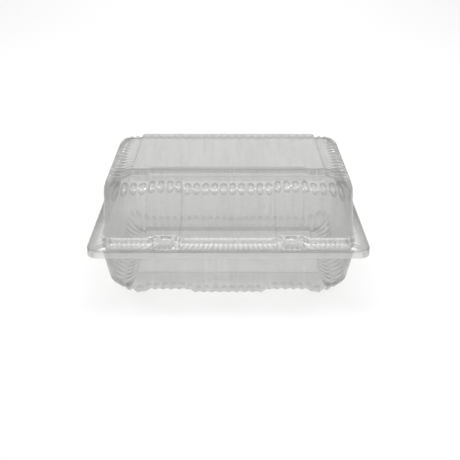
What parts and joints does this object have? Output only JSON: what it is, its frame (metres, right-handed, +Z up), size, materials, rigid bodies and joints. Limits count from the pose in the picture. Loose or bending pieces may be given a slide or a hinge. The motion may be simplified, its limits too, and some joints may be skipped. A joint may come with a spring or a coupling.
{
  "type": "hinged plastic food pack",
  "caption": "Clear thermoformed food pack: a deep tray and a hinged lid with fluted edges, a raised stacking panel and press locks at the front.",
  "frame": {"origin": "centre of the closed pack's footprint, on the surface it stands on", "axes": "+Z up, front with the press locks towards -Y, +X to the right as seen from the front"},
  "size_m": [0.231, 0.1872, 0.1045],
  "materials": {
    "clear_plastic": "gloss"
  },
  "bodies": {
    "tray": {"base_tray": "clear_plastic"},
    "cover": {"lid": "clear_plastic"}
  },
  "joints": [
    {"name": "lid_fold", "type": "hinge", "parent": "tray", "child": "cover", "pos_m": [0, 0.09373, 0.05262], "axis": [-1, 0, 0], "range_deg": [0, 180]}
  ]
}
